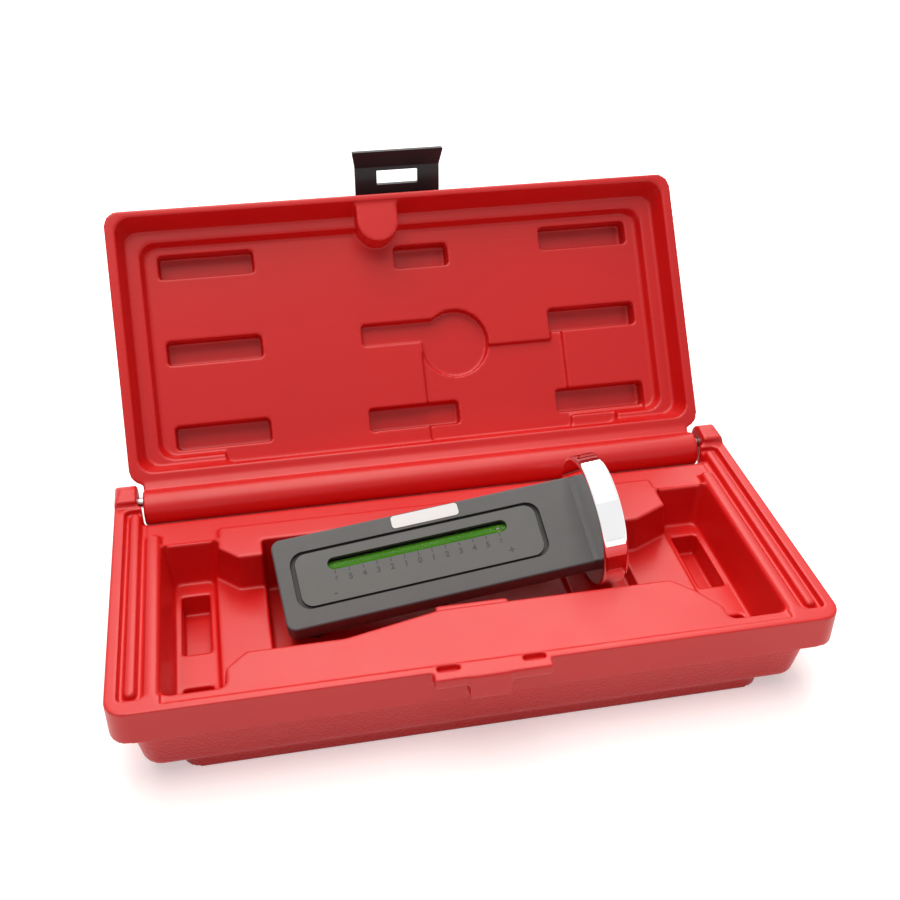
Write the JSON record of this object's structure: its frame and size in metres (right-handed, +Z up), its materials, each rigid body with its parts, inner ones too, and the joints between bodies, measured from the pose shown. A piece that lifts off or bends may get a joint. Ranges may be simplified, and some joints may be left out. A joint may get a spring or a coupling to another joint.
{
  "type": "camber gauge",
  "caption": "Bubble-vial camber gauge with a ring magnet, lying in its open fitted carrying case.",
  "frame": {"origin": "middle of the underside of the case", "axes": "+X along the case from left to right, +Y from the front to the hinge, +Z up"},
  "size_m": [0.244, 0.205, 0.1398],
  "materials": {
    "case_red": "satin",
    "pin_steel": "satin",
    "latch_black": "satin",
    "shell_black": "satin",
    "screw_steel": "satin",
    "foot_rubber": "matt",
    "panel_grey": "satin",
    "frame_black": "matt",
    "badge_white": "satin",
    "vial_glass": "clear",
    "vial_green": "clear",
    "bubble_clear": "clear",
    "plug_rubber": "matt",
    "foam_grey": "matt",
    "cradle_white": "matt",
    "collar_black": "anodised",
    "cup_chrome": "polished",
    "magnet_dark": "matt",
    "pole_steel": "satin",
    "filler_black": "matt",
    "washer_steel": "satin"
  },
  "bodies": {
    "case": {"case_base": "case_red", "hinge_pins": "pin_steel"},
    "lid": {"case_lid": "case_red", "latch_pin": "pin_steel"},
    "latch": {"latch": "latch_black"},
    "gauge": {"gauge_housing": "shell_black", "back_cover": "shell_black", "cover_screws": "screw_steel", "steady_feet": "foot_rubber", "scale_panel": "panel_grey", "panel_frame": "frame_black", "badge_plate": "badge_white", "vial_tube": "vial_glass", "vial_liquid": "vial_green", "vial_plugs": "plug_rubber", "vial_pads": "foam_grey", "vial_cradle": "cradle_white", "end_cap": "collar_black", "magnet_cup": "cup_chrome", "magnet_ring": "magnet_dark", "centre_pole": "pole_steel", "potting_ring": "filler_black", "magnet_screw": "screw_steel", "magnet_washer": "washer_steel"},
    "bubble": {"vial_bubble": "bubble_clear"}
  },
  "joints": [
    {"name": "lid_hinge", "type": "hinge", "parent": "case", "child": "lid", "pos_m": [0, 0.0607, 0.0347], "axis": [1, 0, 0], "range_deg": [0, 93.5]},
    {"name": "latch_hinge", "type": "hinge", "parent": "lid", "child": "latch", "pos_m": [0, 0.13809, 0.11776], "axis": [1, 0, 0], "range_deg": [-35, 55]},
    {"name": "gauge_lift", "type": "slide", "parent": "case", "child": "gauge", "axis": [0, -0.7071, 0.7071], "range_m": [0, 0.04]},
    {"name": "bubble_travel", "type": "slide", "parent": "gauge", "child": "bubble", "axis": [-0.9945, -0.0452, -0.0941], "range_m": [0, 0.0612]}
  ]
}
